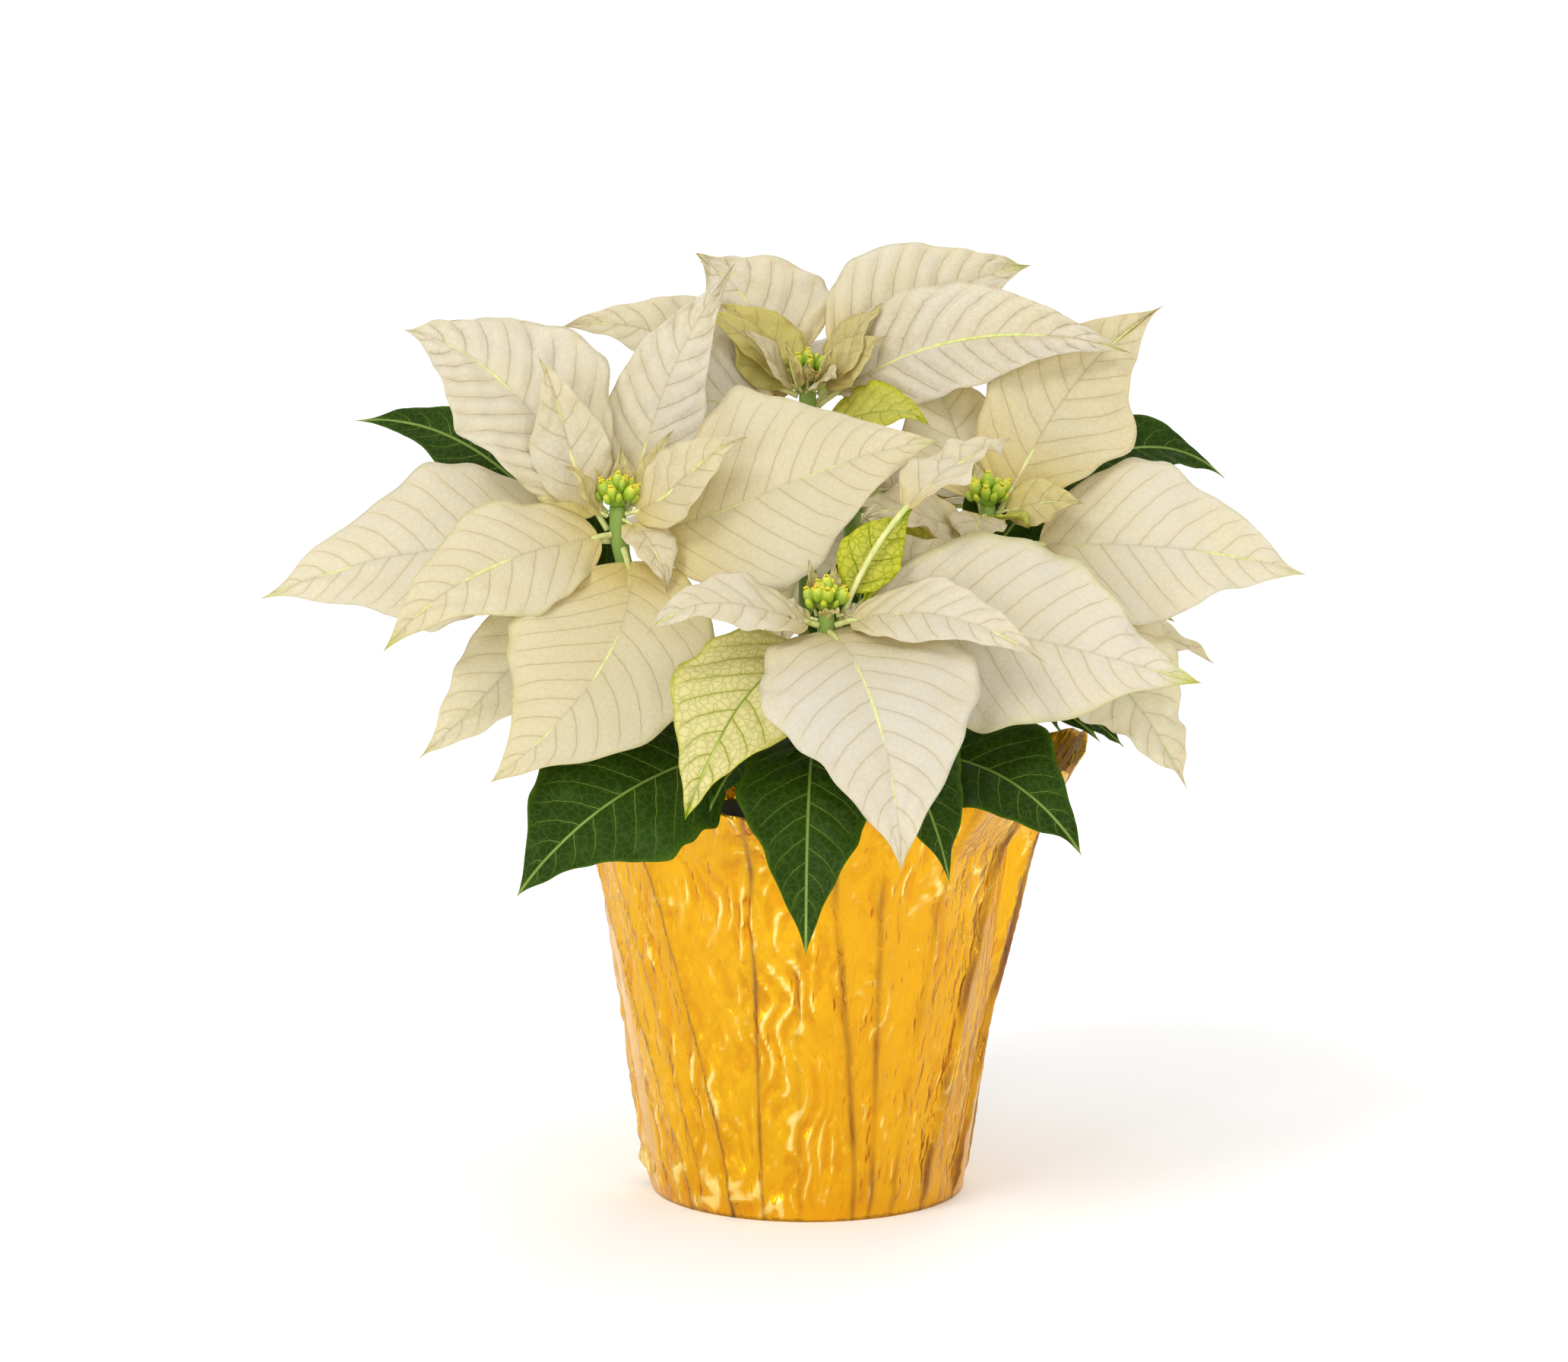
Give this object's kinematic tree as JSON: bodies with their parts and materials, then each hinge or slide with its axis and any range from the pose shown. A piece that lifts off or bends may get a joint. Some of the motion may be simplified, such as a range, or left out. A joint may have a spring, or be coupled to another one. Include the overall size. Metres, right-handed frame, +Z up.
{
  "type": "potted poinsettia",
  "caption": "Poinsettia plant with cream bracts and dark green leaves in a tapered pot wrapped in gold foil with a flared collar.",
  "frame": {"origin": "middle of the foil wrap's flat underside, where the pot stands", "axes": "+Z up, away from the surface the pot stands on; -Y towards the side that the picture shows, with the large heart-shaped bract; +X to the right of that view"},
  "size_m": [0.302, 0.2459, 0.2756],
  "materials": {
    "foil_gold": "gold metallised foil, glossy and creased",
    "pot_plastic": "dark thin moulded plastic",
    "soil": "moist peat potting mix",
    "stem_green": "green stem, matt",
    "cyathia_green": "smooth green buds with yellow tips",
    "bract_cream": "cream leaf, soft and matt, slightly translucent",
    "bract_lime": "yellow-green bract with green veins",
    "bract_shade": "pale grey-green bract in the plant's shade",
    "leaf_green": "dark green leaf with pale veins, satin"
  },
  "bodies": {
    "root": {"bract_crown_1": "bract_cream", "bract_crown_2": "bract_cream", "bract_crown_3": "bract_cream", "bract_crown_4": "bract_cream", "bract_crown_5": "bract_cream", "bract_crown_6": "bract_lime", "bract_crown_7": "bract_cream", "bract_crown_8": "bract_cream", "bract_crown_9": "bract_cream", "bract_front_1": "bract_cream", "bract_front_2": "bract_cream", "bract_front_3": "bract_cream", "bract_front_4": "bract_lime", "bract_front_5": "bract_cream", "bract_front_6": "bract_cream", "bract_left_1": "bract_cream", "bract_left_2": "bract_cream", "bract_left_3": "bract_cream", "bract_left_4": "bract_cream", "bract_left_5": "bract_cream", "bract_left_6": "bract_cream", "bract_left_7": "bract_cream", "bract_left_8": "bract_shade", "bract_rear_1": "bract_cream", "bract_rear_2": "bract_cream", "bract_rear_3": "bract_cream", "bract_rear_4": "bract_cream", "bract_rear_5": "bract_cream", "bract_rear_6": "bract_shade", "bract_rear_7": "bract_shade", "bract_right_1": "bract_cream", "bract_right_2": "bract_cream", "bract_right_3": "bract_cream", "bract_right_4": "bract_lime", "bract_right_5": "bract_cream", "bract_right_6": "bract_lime", "bract_right_7": "bract_shade", "bract_right_8": "bract_shade", "cyathia_crown": "cyathia_green", "cyathia_front": "cyathia_green", "cyathia_left": "cyathia_green", "cyathia_rear": "cyathia_green", "cyathia_right": "cyathia_green", "foil_wrap": "foil_gold", "grower_pot": "pot_plastic", "leaf_crown_1": "leaf_green", "leaf_crown_2": "leaf_green", "leaf_front_1": "leaf_green", "leaf_front_2": "leaf_green", "leaf_front_3": "leaf_green", "leaf_front_4": "leaf_green", "leaf_front_5": "leaf_green", "leaf_left_1": "leaf_green", "leaf_left_2": "leaf_green", "leaf_rear_1": "leaf_green", "leaf_rear_2": "leaf_green", "leaf_right_1": "leaf_green", "leaf_right_2": "leaf_green", "potting_soil": "soil", "stem": "stem_green"}
  },
  "joints": []
}
